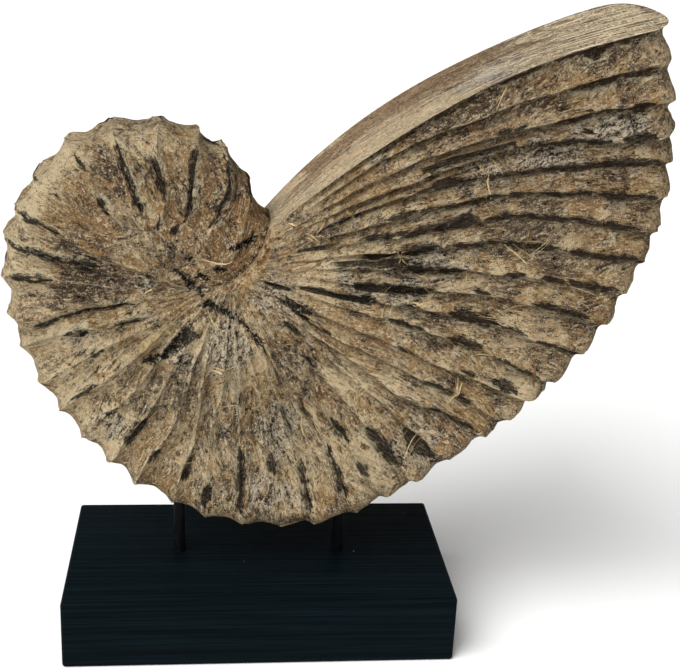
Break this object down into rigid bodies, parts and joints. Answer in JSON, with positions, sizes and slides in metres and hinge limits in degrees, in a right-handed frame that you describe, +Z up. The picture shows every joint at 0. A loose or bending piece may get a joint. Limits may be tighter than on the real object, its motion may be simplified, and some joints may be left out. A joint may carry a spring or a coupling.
{
  "type": "carved wooden nautilus shell on a stand",
  "caption": "Decorative nautilus shell carved from wood, with a fluted spiral body and a flat cut lip, held over a black block by metal rods.",
  "frame": {"origin": "centre of the stand block's underside", "axes": "+Z up, +X to the right as seen from the front, the front of the shell faces -Y, which is through its thickness"},
  "size_m": [0.307, 0.1, 0.3118],
  "materials": {
    "shell_wood": "dry carved wood, weathered cream and brown with black in the grooves",
    "stand_paint": "satin black paint on wood",
    "rod_metal": "semi-gloss black"
  },
  "bodies": {
    "root": {"shell": "shell_wood", "stand_block": "stand_paint", "left_rod": "rod_metal", "right_rod": "rod_metal"}
  },
  "joints": []
}
